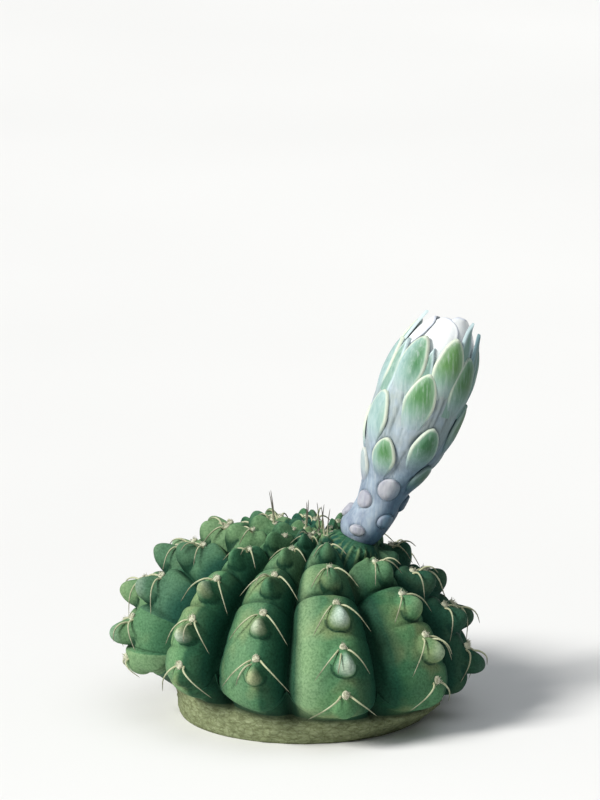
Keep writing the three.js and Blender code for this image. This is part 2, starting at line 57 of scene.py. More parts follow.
# How each rib's crest and groove stray, in degrees, and its areoles, in pitches.
RIB_WAYS = [
    (0, -6.4, 0), (9, 2, 0.25), (8, 12, 0.25), (4, 7, 0), (0, -1, 0), (0, -4.2, 0), (0, 3.1, 0),
    (0, -4.3, 0), (0, -5.5, 0), (-5, -3, 0.15), (-8, -6, 0.03), (-2, -6, 0), (-2.5, -8, 0),
]
CREST_SHIFTS, GROOVE_SHIFTS, PHASE_SHIFTS = (np.array(column) for column in zip(*RIB_WAYS))
GROOVE = 9  # depth between two ribs at the widest level
GROOVE_FOOT = 0.62  # share of that depth left at the ribs' foot
GROOVE_SQUARE = 2.8  # over 2: broad ribs, narrow grooves
GROOVE_WALL = 0.72  # under 1: steep flanks
RIDGED_FROM = math.radians(3)  # the ribs further to -X are ridged
KEEL = 2.2  # drop from the crest of a ridged rib to its grooves
KEEL_EVEN = 0.4  # the same on a round rib
KEEL_ROUND = 0.077  # share of the rib over which its crest is rounded
BASE_R = 31.5  # the corky base, where it stands
BASE_TOP = 4.8  # at this height
BASE_FLARE = 0.06  # it is wider by this share,
BASE_LEAN = 2  # and this far to +X
BASE_ROWS = [  # part of the ribs' own outline, share of the base radius, height
    (0.75, 1, 7.7), (0.4, 1, 6.9), (0.15, 1, 5.9), (0.05, 1, BASE_TOP), (0, 1, 3.6),
    (0, 1.003, 2.4), (0, 1, 1.2), (0, 0.993, 0.4), (0, 0.975, 0), (0, 0.6, 0), (0, 0.2, 0),
]
WRINKLE = 0.3  # depth of the cork's wrinkles
SKIN_WAVES = [(0.16, 9), (0.05, 3)]  # heights and lengths of the skin's unevenness,
STEM_MIDDLE_Z = 18  # away from the middle at this height
CROWN_SHIFT = 5  # the growing point stands this far to +X of the base,
CROWN_SHIFT_R = 18  # with the skin this far around
TILT = 0.065  # the +X side is lower by this share of x, from the ribs' foot up,
TILT_RISE = 0.0014  # and by this more for each millimetre up
LEFT_BULGE = 0.0019  # the -X side bulges out by this share of x squared,
BULGE_Z = 16  # in full from this height up
LEFT_SAG = 0.0016  # and it sags by this share of x squared,
LEFT_SAG_RISE = 0.00002  # and by this more for each millimetre up,
SAG_Z = 20  # in full from this height up
RIGHT_BULGE = 0.0004  # the +X side bulges out low down, by this share of x squared,
RIGHT_BULGE_Z = 14  # most at this height
RIGHT_BULGE_REACH = 9

# ---- Areoles, chins and spines ----
AREOLE_PITCH = 11.6  # along a full-grown rib
CROWD = 0.7  # how softly the pitch closes up at the top
CROWD_AT = 2
AREOLE_TURN = 8 / RIBS  # in pitches, from rib to rib
LAST_AREOLE_ARC = 62  # the last areole of a rib lies before this
CROWN_GROWTH = 0.3  # size of a tubercle at the growing point, as a share
FULL_GROWTH_ARC = 35  # it is full-grown this far down the rib
CHIN = 4.2  # how far a full-grown chin stands out
CHIN_DROP = 4  # from the areole down to the chin's middle
CHIN_ABOVE = 5
CHIN_BELOW = 4.4
CHIN_HALF_WIDTH = 3.9
CHIN_ROUND = 1.4  # over 1: the chin runs out softly into the rib
CHIN_KEELED = 0.78  # size of the chins on the ridged ribs near the front
CHIN_LOWEST = 0.35  # height of a rib's lowest chin
LOWEST_ARCS = (52, 57)  # the areoles turn to the lowest ones here
NOSE_ABOVE = 3.8  # the chin's round nose, up from the chin's middle,
NOSE_BELOW = 3.2  # down from it
NOSE_HALF_WIDTH = 3  # and to the sides
NOSE_PINCH = 0.55  # share of that width lost at its top
SWELLING = 0.55  # height of the soft swelling, as a share of the chin,
NOSE = 0.48  # and of the nose on it
CREASE = 0.4  # depth of the crease under the nose
CREASE_AT = 1.08  # where it runs, in nose lengths
PALE_CHIN_ARCS = (27, 34)  # the chins turn pale between these
CROWN_RIDGES = 3 * RIBS  # young ribs round the growing point,
CROWN_RIDGE = 0.35  # this high
CROWN_RIDGE_ARC = 5  # around here
NOTCH = 2.4  # depth of the cross furrow above an areole on the shoulder
NOTCH_LOW = 0.8  # the same low on the rib
NOTCH_SHARE = 0.64  # where it lies on the way to the next areole,
NOTCH_SAG = 0.1  # and how far down it runs towards the grooves
NOTCH_WALLS = (0.1, 0.2)  # reach of its lower and its upper wall, in pitches
NOTCH_FLOOR = 0.04
NOTCH_FRONT = 0.3  # share of its depth left low on the front
NOTCH_SIDE = 1.5  # and on the ribs towards -X
YOUNG = 0.45  # tubercles under this size hold upright spines, every third rib's
SPARSE = 0.62  # others under this size hold spines on every other rib
FIRST_SPINES_ARC = 4  # no spines nearer to the growing point
SPINE_R = 0.3
YOUNG_SPINE_R = 0.75 * SPINE_R
SPINE_VARY = 0.1  # share by which areoles differ in their spines
SPINE_STRETCH = (0.86, 1.12)  # range by which each spine differs
LOW_SPINES = 0.6  # size of the lowest spines on the ribs towards -X
FLOOR_CLEARANCE = 1
SPINES_FROM_BUD = 1.5  # no spines nearer to the bud's foot,
WOOL_FROM_BUD = 1  # and no wool
PAD = np.array([0.95, 1.2, 0.6])  # half width, half length and height of a pad
HAIRS = 46  # on each pad
HAIR_RADII = np.array([0.045, 0.04, 0.03, 0.01])
# Offsets of spines outwards, down the rib and sideways from the areole.
PAIR_SPINE = [(-1.3, 0, 0.6), (0.9, 1.2, 2.1), (0.5, 3.9, 4.9), (-2.4, 7.4, 7.9)]
THIRD_SPINE = [(-1.3, 1.1, 0.1), (2.2, 2, 1.4), (3.7, 4.3, 2.4), (3, 7, 3.2)]
YOUNG_SPINE = [(-1.2, 0, 0.3), (9, 0.6, 1.4), (19, 1.8, 2.6)]

# ---- Flower bud, its heights as shares of its length ----
BUD_BASE = np.array([15.9, -3, 46])
BUD_AXIS = np.array([0.37, 0, 0.955])
BUD_AXIS = BUD_AXIS / np.linalg.norm(BUD_AXIS)
BUD_LENGTH = 59.4
BUD_ROOT = -0.05  # where the tube starts under the skin
TUBE_TOP = 0.8  # where the tube ends and only petals go on
TUBE_KNOTS = [  # share of the length, radius
    (BUD_ROOT, 3.6), (0, 5.3), (0.05, 5.9), (0.14, 5.6), (0.24, 6.3), (0.34, 8.2), (0.45, 10),
    (0.58, 10.6), (0.72, 10.4), (0.84, 9.3), (0.93, 7.7), (1, 6.4),
]
FOOT_BEND = 1.6  # the bud's foot bends this far to -X of its axis
FOOT_BEND_REACH = 0.15  # share of the length over which it straightens
SEAT_R = 6.5  # the tubercles are flat this near to the bud's axis
SEAT_REACH = 13.5  # and full this far from it
MOUND_DROP = 1.2  # the skin rises to this far under the bud's foot,
MOUND_R = 5  # and beyond this distance from its axis
MOUND_FALL = 0.9  # it falls by this much for each millimetre,
MOUND_FADE = (6.5, 9.5)  # till it is as low as before
MOUND_DEPTH = 9  # no skin deeper than this under the foot is raised
FOLDS = 26  # fine folds of the skin fan out from the bud's foot,
FOLDS_R = 8.6  # this far from its axis,
FOLDS_REACH = 2.6
FOLD = 0.4  # and this high
GOLDEN_TURN = math.radians(137.7)
FIRST_AZIMUTH = math.radians(-17)
SCALES = 30
# Numbers of scales, and where their middles lie.
SCALE_HEIGHTS = [(0, 0.018), (13, 0.382), (18, 0.53), (21, 0.66), (24, 0.765), (29, 0.825)]
SCALE_HALF_LENGTH = (2, 7.4)  # lowest and uppermost
SCALE_HALF_WIDTH = (2, 4.5)
SCALE_RUN = 1.5  # half lengths that a leafy scale runs down the tube
SCALE_SWELL = 0.9  # height of the tube's swelling under it
SHADOW_LINE = 0.5  # width of the shadow round it
CRACK = 0.25  # depth of the cracks beside it
TUBE_INSET = 0.15  # the tube's skin lies this far inside its cone
OUTER_BASE = 0.62  # of the outer petals, whose tips follow one by one
OUTER_TIPS = [0.97, 0.87, 0.985, 0.93, 0.88, 0.92, 0.99, 1.03, 0.96]
OUTER_HALF_WIDTH = 3.1
OUTER_FLARE = 0.8
INNER_COUNT = 5  # petals in a row
INNER_AZIMUTH = math.radians(-20)
# Depth inside the cone, how far the petals close in, half width, tip.
INNER_ROWS = [(1.1, 3.0, 5.2, 0.985), (2.0, 2.9, 4.4, 0.975)]
INNER_TWIST = 0.5  # one edge lies over the next petal
INNER_TIP_TILT = 0.03  # those towards +X reach so much higher,
INNER_FRONT_RISE = 0.016  # those in front so much,
INNER_BACK_DROP = 0.04  # and those at the back are lower
INNER_OPEN = 0.65  # share of its row's closing that the petal at -X does
INNER_BASE = TUBE_TOP + 0.02
INNER_THICKNESS = 0.45
HEART_BASE = TUBE_TOP + 0.006
HEART_TIP = 0.965
HEART_DEPTH = 2.8  # of the heart's petals inside the cone
HEART_CLOSING = 4  # how far they close in towards their tips
HEART_PETALS = 5
HEART_FOLD = 0.5  # how far one edge of each lies over the next
HEART_TWIST = 1.4  # turns of an edge along the whole bud

# ---- Camera and floor ----
AIM = (-0.5, 0, 79.9)  # what the middle of the frame looks at
ELEVATION = math.radians(13)
DISTANCE = 1200
LENS = 217
FLOOR_HALF = 6000

# ---- Mesh resolution ----
CREST_SAMPLES = 4000
RIB_COLUMNS = 36
STEM_ROWS = 186
ROW_CROWDING = 0.97  # under 1: rows stand closer low on the ribs
SPINE_SIDES = 8
SPINE_RINGS = 12
PAD_SIDES = 14
PAD_LATITUDES = np.linspace(0.15, 1.45, 6)
TUBE_ROWS = 170
TUBE_SIDES = 220
BLADE_ROWS = 24
BLADE_SIDES = 30
HEART_ROWS = 30
HEART_SIDES = 120
WAVES = 14  # plane waves that make up a noise
SEED = 7


# ---- Helpers ----


def catmull(points, u):
    """Points of the spline through the given ones, with u counted in points."""
    p = np.asarray(points, float)
    last = len(p) - 1
    i = np.clip(np.floor(u).astype(int), 0, last - 1)
    t = (u - i)[:, None]
    p0, p1, p2, p3 = p[np.maximum(i - 1, 0)], p[i], p[i + 1], p[np.minimum(i + 2, last)]
    v0, v1 = (p2 - p0) / 2, (p3 - p1) / 2
    cubic = (2 * p1 - 2 * p2 + v0 + v1) * t - 3 * p1 + 3 * p2 - 2 * v0 - v1
    return cubic * t * t + v0 * t + p1


def lerp(a, b, t):
    return a + (b - a) * t


def smooth(x, low, high):
    t = np.clip((x - low) / (high - low), 0, 1)
    return t * t * (3 - 2 * t)


def fraction(x):
    return x - np.floor(x)


def bump(x, width):
    return np.exp(-((x / width) ** 2))


def unit(v):
    return v / np.linalg.norm(v, axis=-1, keepdims=True)


def waves(points, length):
    """Smooth noise from -1 to 1, its waves about so many millimetres long."""
    random = np.random.default_rng(SEED)
    directions = unit(random.normal(size=(WAVES, 3)))
    numbers = directions * (math.tau / length) * random.uniform(0.6, 1.5, (WAVES, 1))
    phases = random.uniform(0, math.tau, WAVES)
    return np.sin(points @ numbers.T + phases).sum(-1) / math.sqrt(WAVES / 2) / 2


def turns(count):
    """Angles that go once round in even steps."""
    return np.linspace(0, math.tau, count, endpoint=False)


class Shape:
    """A growing mesh: points in millimetres, faces, and named numbers for each point."""

    def __init__(self):
        self.points, self.faces, self.marks, self.size = [], [], {}, 0

    def rings(self, first, rings, last, **marks):
        """Adds a closed body from a first point over rings of points to a last one."""
        rows, sides = rings.shape[:2]
        a = np.arange(sides) + 1
        b = np.roll(a, -1)
        down = sides * np.arange(rows)[:, None]
        quads = np.stack([a + down[:-1], a + down[1:], b + down[1:], b + down[:-1]], -1)
        top = np.stack([0 * a, a, b], -1)
        bottom = np.stack([0 * a + 1 + rows * sides, b + down[-1], a + down[-1]], -1)
        for faces in (top, quads.reshape(-1, 4), bottom):
            self.faces += (faces + self.size).tolist()
        for name, values in marks.items():
            full = np.broadcast_to(values, (rows, sides))
            spread = np.concatenate([[full[0].mean()], full.ravel(), [full[-1].mean()]])
            self.marks.setdefault(name, []).append(spread)
        points = np.concatenate([[first], rings.reshape(-1, 3), [last]])
        self.points.append(points)
        self.size += len(points)


def add_object(name, data):
    """A new object in the scene."""
    made = bpy.data.objects.new(name, data)
    bpy.context.scene.collection.objects.link(made)
    return made


def mesh_object(name, shape, material, replaces=None):
    """A smooth mesh object from a Shape, riding on the plant."""
    mesh = bpy.data.meshes.new(name)
    mesh.from_pydata((np.concatenate(shape.points) * MM).tolist(), [], shape.faces)
    for mark, parts in shape.marks.items():
        attribute = mesh.attributes.new(mark, "FLOAT", "POINT")
        attribute.data.foreach_set("value", np.concatenate(parts).astype(np.float32))
    mesh.shade_smooth()
    mesh.materials.append(material)
    outward(mesh)
    made = add_object(name, mesh)
    if replaces:
        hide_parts(replaces)
    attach(made, "root")


def outward(mesh):
    """Turns a closed mesh's faces outwards."""
    mesh.calc_loop_triangles()
    corners = np.empty(len(mesh.loop_triangles) * 3, np.int32)
    mesh.loop_triangles.foreach_get("vertices", corners)
    points = np.empty(len(mesh.vertices) * 3)
    mesh.vertices.foreach_get("co", points)
    a, b, c = points.reshape(-1, 3)[corners.reshape(-1, 3)].transpose(1, 0, 2)
    if np.einsum("ij,ij->i", a, np.cross(b, c)).sum() < 0:
        mesh.flip_normals()


# ---- The stem's surface ----

BUD_SIDE = unit(np.array([1, 0, 0]) - BUD_AXIS * BUD_AXIS[0])
BUD_BACK = np.cross(BUD_AXIS, BUD_SIDE)
_crest = catmull(CREST, np.linspace(0, len(CREST) - 1, CREST_SAMPLES))
_steps = np.hypot(*np.diff(_crest, axis=0).T)
_arcs = np.concatenate([[0], np.cumsum(_steps)])
FULL_ARC = _arcs[-1]
_along = unit(np.gradient(_crest, axis=0))


def crest_at(arc):
    """Radius, height and outward normal of the rib crests at arc lengths from the growing point."""
    r, z = (np.interp(arc, _arcs, _crest[:, k]) for k in (0, 1))
    along_r, along_z = (np.interp(arc, _arcs, _along[:, k]) for k in (0, 1))
    return r, z, -along_z, along_r


def areole_arc(v):
    """Arc length of areole number v of a rib, counted from the growing point."""
    return AREOLE_PITCH * CROWD * np.log(1 + np.exp((v - CROWD_AT) / CROWD))


def areole_number(arc):
    """The inverse of areole_arc."""
    soft = AREOLE_PITCH * CROWD
    return CROWD_AT + CROWD * np.log(np.expm1(np.maximum(arc, 0.01) / soft))


def rib_phase(rib):
    """The number of a rib's first areole, from 0 to 1."""
    return fraction(rib * AREOLE_TURN + PHASE_SHIFTS[rib % RIBS])


def growth(arc):
    """How full-grown the tubercles are at an arc length."""
    return lerp(CROWN_GROWTH, 1, np.clip(arc / FULL_GROWTH_ARC, 0, 1))


def crest_azimuth(rib):
    return FRONT_RIB + rib * RIB_PITCH + np.radians(CREST_SHIFTS[rib % RIBS])


def groove_azimuth(rib):
    """Where the groove before a rib runs."""
    return FRONT_RIB + (rib - 0.5) * RIB_PITCH + np.radians(GROOVE_SHIFTS[rib % RIBS])


def keeled(rib):
    """How keeled a rib is: those towards -X are ridged, those towards +X round."""
    return smooth(-np.sin(FRONT_RIB + rib * RIB_PITCH - RIDGED_FROM), -0.05, 0.2)


def lumpy(rib):
    """The outermost ribs towards -X have deep notches."""
    return smooth(-np.sin(crest_azimuth(rib)), 0.7, 0.9)


def azimuth_at(rib, share):
    """Azimuth at a share of the way from a rib's crest (0) to its grooves (-1 and 1)."""
    groove = groove_azimuth(np.where(share < 0, rib, rib + 1))
    return lerp(crest_azimuth(rib), groove, np.abs(share))


def furrow_at(rib, share, arc, azimuth, cell):
    """Depth of the cross furrow above an areole, and how far in it a point lies."""
    front = smooth(np.cos(azimuth - FRONT_RIB / 2), 0.5, 0.95) * smooth(arc, 34, 44)
    depth = lerp(NOTCH, NOTCH_LOW, smooth(arc, 22, 50)) * np.minimum(1, arc / 14)
    depth = depth * lerp(1, NOTCH_FRONT, front) * lerp(1, NOTCH_SIDE, lumpy(rib))
    off = cell - NOTCH_SHARE - NOTCH_SAG * share**2
    off = off - np.round(off)
    inside = 0.6 * bump(off, np.where(off > 0, *NOTCH_WALLS)) + 0.5 * bump(off, NOTCH_FLOOR)
    return depth, inside * (1 - 0.4 * share**2)


def chin_at(side, drop):
    """The chin's swelling, nose and crease, so far to the side of its middle and below it."""
    below = drop > 0
    along = drop / np.where(below, CHIN_BELOW, CHIN_ABOVE)
    swell = np.maximum(0, 1 - along**2 - (side / CHIN_HALF_WIDTH) ** 2) ** CHIN_ROUND
    along = drop / np.where(below, NOSE_BELOW, NOSE_ABOVE)
    across = side / (NOSE_HALF_WIDTH * (1 - NOSE_PINCH * np.clip(-along, 0, 1)))
    far = np.sqrt(np.abs(along) ** np.where(below, 3.2, 2) + across**2)
    nose = np.maximum(0, 1 - far**2) ** np.where(below, 0.8, 1.25)
    return swell, nose, bump(far - CREASE_AT, 0.14) * below


def flank_marks(rib, share, azimuth):
    """How much painted light lies on the flanks that face -X, the lamp's side, and how much painted
    shade on the others.
    """
    ridged, side_rib = keeled(rib), lumpy(rib)
    sunny = smooth(-share, lerp(0.2, -0.05, ridged), lerp(0.7, 0.3, ridged))
    sunny = sunny * smooth(np.cos(azimuth + 0.35), 0.5, 0.9) * lerp(1, 0.35, ridged)
    sunny = np.maximum(sunny, 0.6 * side_rib * (1 - np.abs(share)) ** 0.5)
    turned = 0.12 * smooth(np.sin(crest_azimuth(rib)), 0.35, 0.6)
    shaded = smooth(share, lerp(turned, -0.02, ridged), lerp(turned + 0.5, 0.2, ridged))
    return {"sunny": sunny, "shaded": shaded * (1 - side_rib)}


def relief(rib, share, arc):
    """Height of the skin over the crests' outline, with what each point belongs to."""
    r = crest_at(arc)[0]
    size = growth(arc)
    azimuth = azimuth_at(rib, share)
    ridged, side_rib = keeled(rib), lumpy(rib)
    low = smooth(arc, areole_arc(5.5), FULL_ARC)
    wall = (1 - np.abs(share) ** GROOVE_SQUARE) ** GROOVE_WALL
    groove = GROOVE * (r / RIB_R) ** 0.8 * lerp(1, GROOVE_FOOT, low) * (1 - wall)
    keel = lerp(KEEL_EVEN, KEEL, ridged) * (np.hypot(share, KEEL_ROUND) - KEEL_ROUND)
    number = areole_number(arc)
    cell = fraction(number - rib_phase(rib))
    depth, furrow = furrow_at(rib, share, arc, azimuth, cell)
    past = np.where(cell > 0.75, cell - 1, cell)  # number counted from the nearest areole's
    own_arc = areole_arc(number - past)
    lowest = smooth(own_arc, *LOWEST_ARCS)
    there = (own_arc < LAST_AREOLE_ARC) * lerp(1, CHIN_LOWEST, lowest)
    chin_size = lerp(1, CHIN_KEELED, ridged * (1 - side_rib))
    side = r * (azimuth - azimuth_at(rib, 0)) / size / chin_size
    drop = (past * AREOLE_PITCH - CHIN_DROP) / chin_size
    swell, nose, crease = (there * part for part in chin_at(side, drop))
    height = CHIN * size * chin_size * (SWELLING * swell + NOSE * nose) - CREASE * size * crease
    height = height - groove - depth * furrow - keel * size
    young_ribs = np.cos(CROWN_RIDGES * azimuth) * bump(arc - CROWN_RIDGE_ARC, 3.5)
    height = height + CROWN_RIDGE * young_ribs
    # Chins are palest on the ribs towards the front left, the lamp's side: partly a painted
    # highlight.
    pale = lerp(0.5, 1, smooth(np.cos(azimuth + 0.3), 0.68, 0.9))
    pale = pale * lerp(0.12, 1, smooth(own_arc, *PALE_CHIN_ARCS)) * (1 - lowest)
    tubercle = 41 * rib + 17 * np.round(number - past - rib_phase(rib))
    marks = {
        "chin": nose * pale,
        "tone": fraction(43.7 * np.sin(tubercle)),  # a number of its own for each tubercle
        "groove": 1 - wall,
        "furrow": np.clip(furrow * depth / NOTCH + 0.8 * crease, 0, 1),
        "young": np.maximum(1 - size, 0.42 * side_rib),
        "side": np.sin(azimuth),
    }
    return height, marks | flank_marks(rib, share, azimuth)


def lean(x, y, z):
    """The plant leans: its +X side is lower, and its growing point stands off the middle."""
    shift = CROWN_SHIFT * bump(np.hypot(x, y), CROWN_SHIFT_R) * (z > RIB_R / 2)
    tilt = TILT * np.minimum(1, z / FOOT_Z) + TILT_RISE * z
    left = np.minimum(0, x) ** 2
    bulge = LEFT_BULGE * left * smooth(z, 0, BULGE_Z)
    sag = (LEFT_SAG + LEFT_SAG_RISE * z) * left * np.clip((z - FOOT_Z) / (SAG_Z - FOOT_Z), 0, 1)
    bulge = bulge - RIGHT_BULGE * np.maximum(0, x) ** 2 * bump(z - RIGHT_BULGE_Z, RIGHT_BULGE_REACH)
    return np.stack([x + shift - bulge, y + 0 * x, z - tilt * x - sag], -1)


def around(azimuth, r, z):
    return lean(r * np.sin(azimuth), -r * np.cos(azimuth), z)


def from_bud(points):
    """Height of points along the bud's axis, and their distance from it."""
    offset = points - BUD_BASE + BUD_SIDE * FOOT_BEND
    along = offset @ BUD_AXIS
    return along, np.linalg.norm(offset - along[..., None] * BUD_AXIS, axis=-1)


def skin(rib, share, arc):
    """Points of the skin at shares of the way to a rib's grooves and at arc lengths."""
    r, z, out_r, out_z = crest_at(arc)
    azimuth = azimuth_at(rib, share)
    height, marks = relief(rib, share, arc)
    outline = around(azimuth, r, z)
    away = from_bud(outline)[1]
    height = np.where(height > 0, height * smooth(away, SEAT_R, SEAT_REACH), height)
    turn = np.arctan2((outline - BUD_BASE) @ BUD_BACK, (outline - BUD_BASE) @ BUD_SIDE)
    fold = np.cos(FOLDS * turn) * bump(away - FOLDS_R, FOLDS_REACH)
    marks["fold"] = np.clip(fold, 0, 1)
    height = height + FOLD * fold
    return around(azimuth, r + out_r * height, z + out_z * height), marks


def mound(points):
    """Raises the skin round the foot of the bud, which grows out of it."""
    along, away = from_bud(points)
    lip = -MOUND_DROP - MOUND_FALL * np.maximum(0, away - MOUND_R)
    raise_by = np.maximum(0, lip - along) * (1 - smooth(away, *MOUND_FADE))
    return points + BUD_AXIS * (raise_by * (along > -MOUND_DEPTH))[..., None]


def base_rows(rib, share, outline):
    """Rows of points from the ribs' foot down the corky base and under it."""
    rows = []
    for part, wide, z in BASE_ROWS:
        up = min(1, z / BASE_TOP)
        r = lerp(BASE_R * wide * (1 + BASE_FLARE * up), outline, part)
        row = around(azimuth_at(rib, share), r, np.full(rib.shape, float(z)))
        row[:, 0] += BASE_LEAN * up * (1 - part)
        free = 0.2 < z < 7  # wrinkled only between the floor and the ribs
        wrinkle = WRINKLE * (waves(row * np.array([1, 1, 2.5]), 5) - 1) * free
        rows.append(row + unit(row * np.array([1, 1, 0])) * wrinkle[:, None])
    return rows


def stem_shape():
    shares = np.linspace(-1, 1, RIB_COLUMNS, endpoint=False)
    shares = 0.5 * shares + 0.5 * shares**3  # closer together along the crest
    rib, share = (a.ravel() for a in np.meshgrid(np.arange(RIBS), shares, indexing="ij"))
    arcs = FULL_ARC * (np.arange(1, STEM_ROWS + 1) / STEM_ROWS) ** ROW_CROWDING
    rib2, arc2 = np.meshgrid(rib, arcs)
    points, marks = skin(rib2, np.broadcast_to(share, rib2.shape), arc2)
    uneven = sum(high * waves(points, long) for high, long in SKIN_WAVES)
    out = unit(points - np.array([0, 0, STEM_MIDDLE_Z]))
    points = mound(points + out * uneven[..., None])
    foot, foot_marks = relief(rib, share, np.full(rib.shape, FULL_ARC))
    rows = base_rows(rib, share, crest_at(FULL_ARC)[0] + foot)
    rings = np.concatenate([points, rows])
    for name, values in marks.items():
        kept = name in ("groove", "sunny", "shaded", "side", "young", "tone")
        below = np.tile(foot_marks[name] if kept else 0 * foot, (len(rows), 1))
        marks[name] = np.concatenate([values, below])
    # The cork begins with the base, and the shade under the ribs lies around there.
    cork, under = np.zeros(rings.shape[:2]), np.zeros(rings.shape[:2])
    cork[-len(rows) :] = 1
    cork[-len(rows)] = 0.2
    under[-len(rows) - 1 : -len(rows) + 3] = [[0.3], [0.9], [0.8], [0.15]]
    made = Shape()
    top = skin(np.array([0]), np.array([0.0]), np.array([0.0]))[0][0]
    made.rings(top, rings, np.zeros(3), cork=cork, under=under, **marks)
    return made


# ---- Spines and wool ----


def areole_frame(rib, arc):
    """The areole's place with the directions outwards, down the rib and sideways."""
    azimuth = azimuth_at(rib, 0)
    out_r, out_z = crest_at(arc)[2:]
    out = np.array([out_r * math.sin(azimuth), -out_r * math.cos(azimuth), out_z])
    side = np.array([math.cos(azimuth), math.sin(azimuth), 0])
    at = skin(np.array([rib]), np.array([0.0]), np.array([arc]))[0][0]
    return at, out, np.cross(side, out), side


def spine_points(place, path, hand, size, vary):
    """Points of a spine along its path from a sunk root."""
    at, out, down, side = place
    points = []
    for i, offsets in enumerate(path):
        scale = np.array([1, 1, 1]) if i == 0 else size * vary
        o, d, s = scale * offsets
        points.append(at + out * o + down * d + side * s * hand)
    points = catmull(points, np.linspace(0, len(points) - 1, SPINE_RINGS))
    points[:, 2] = np.maximum(points[:, 2], FLOOR_CLEARANCE)
    return points


def add_needle(shape, points, radii, sides, **marks):
    """A tapered round needle along points, its last point the tip."""
    along = unit(np.gradient(points, axis=0))
    u = unit(np.cross(along, unit(np.array([0.2, 0.1, 1.0]))))
    v = np.cross(along, u)
    angles = turns(sides)
    ring = np.cos(angles)[:, None] * u[:, None] + np.sin(angles)[:, None] * v[:, None]
    rings = points[:, None] + ring * radii[:, None, None]
    marks["along"] = np.repeat(np.linspace(0, 1, len(points))[:-1], sides).reshape(-1, sides)
    shape.rings(points[0], rings[:-1], points[-1], **marks)


def areoles(margin):
    """Rib, number, arc length and frame of each areole a margin away from the bud's foot."""
    for rib in range(RIBS):
        number = rib_phase(rib) + 1
        while areole_arc(number) < LAST_AREOLE_ARC:
            arc = float(areole_arc(number))
            place = areole_frame(rib, arc)
            along, away = from_bud(place[0])
            if away >= tube_radius(np.maximum(along, 0) / BUD_LENGTH) + margin:
                yield rib, number, arc, place
            number += 1


def spines_shape():
    random = np.random.default_rng(SEED)
    made = Shape()
    for rib, number, arc, place in areoles(SPINES_FROM_BUD):
        young = growth(arc) < (YOUNG if rib % 3 else lerp(YOUNG, SPARSE, lumpy(rib)))
        sparse = growth(arc) < SPARSE and not young
        if arc < FIRST_SPINES_ARC or (young and rib % 3) or (sparse and rib % 2):
            continue
        size = min(growth(arc), YOUNG) if young else growth(arc)
        size *= 1 + SPINE_VARY * math.sin(7.3 * rib + 3.1 * number)
        size *= lerp(1, LOW_SPINES, float(lumpy(rib) * smooth(arc, *LOWEST_ARCS)))
        path = YOUNG_SPINE if young else PAIR_SPINE
        runs = [(path, -1), (path, 1)]
        if not young and (rib + math.floor(number)) % 2 == 0:
            runs.append((THIRD_SPINE, 1 if rib % 3 else -1))
        thick = YOUNG_SPINE_R if young else SPINE_R
        radii = thick * (1 - 0.8 * np.linspace(0, 1, SPINE_RINGS) ** 1.5)
        for run, hand in runs:
            points = spine_points(place, run, hand, size, random.uniform(*SPINE_STRETCH, 3))
            add_needle(made, points, radii, SPINE_SIDES, young=young)
    return made


def add_pad(shape, place, size):
    """A pad of felt on an areole."""
    at, out, down, side = place
    wide, long, thick = PAD * size
    angles = turns(PAD_SIDES)[:, None]
    around_it = np.cos(angles) * side * wide + np.sin(angles) * down * long
    rings = [at + out * thick * math.cos(a) + around_it * math.sin(a) for a in PAD_LATITUDES]
    rings.append(at - out * 0.5 + 0.9 * (rings[-1] - at))
    rings = np.array(rings)
    rings = rings + out * (0.12 * waves(rings, 1.2))[..., None]
    shape.rings(at + out * thick, rings, at - out * 0.6, along=0.3)


def add_hair(shape, place, size, random):
    """A short curly hair somewhere on a pad."""
    at, out, down, side = place
    wide, long, thick = PAD * size
    turn, far = random.uniform(0, math.tau), math.sqrt(random.uniform(0, 1))
    aside = math.cos(turn) * side * wide + math.sin(turn) * down * long
    root = at + aside * far * 0.9 + out * thick * math.sqrt(1 - 0.8 * far**2) * 0.8
    stray = random.normal(size=3) * 0.16
    tip = root + (out * 0.55 + aside * far * 0.4 + stray) * size
    curl = (root + tip) / 2 + random.normal(size=3) * 0.1
    points = catmull([root, curl, tip], np.linspace(0, 2, len(HAIR_RADII)))
    add_needle(shape, points, HAIR_RADII, 3)


def wool_shape():
    """Felt pads with short curly hairs on the areoles."""
    random = np.random.default_rng(SEED)
    made = Shape()
    for _, _, arc, place in areoles(WOOL_FROM_BUD):
        size = lerp(0.35, 1, growth(arc))
        add_pad(made, place, size)
        for _ in range(HAIRS):
            add_hair(made, place, size, random)
    return made


# ---- The flower bud ----


def bud_point(t, azimuth, radius):
    """Points of the bud: height as a share of its length, azimuth from the front, radius."""
    t, azimuth, radius = (np.asarray(a, float)[..., None] for a in (t, azimuth, radius))
    out = BUD_SIDE * np.sin(azimuth) - BUD_BACK * np.cos(azimuth)
    bend = FOOT_BEND * (1 - smooth(t, 0, FOOT_BEND_REACH))
    return BUD_BASE + BUD_AXIS * t * BUD_LENGTH - BUD_SIDE * bend + out * radius


def tube_radius(t):
    """Radius of the tube and of the cone that the petals lie on."""
    t = np.asarray(t, float)
    knots = np.array([k[0] for k in TUBE_KNOTS])
    place = np.interp(t.ravel(), knots, np.arange(len(knots)))
    return catmull(TUBE_KNOTS, place)[:, 1].reshape(t.shape)


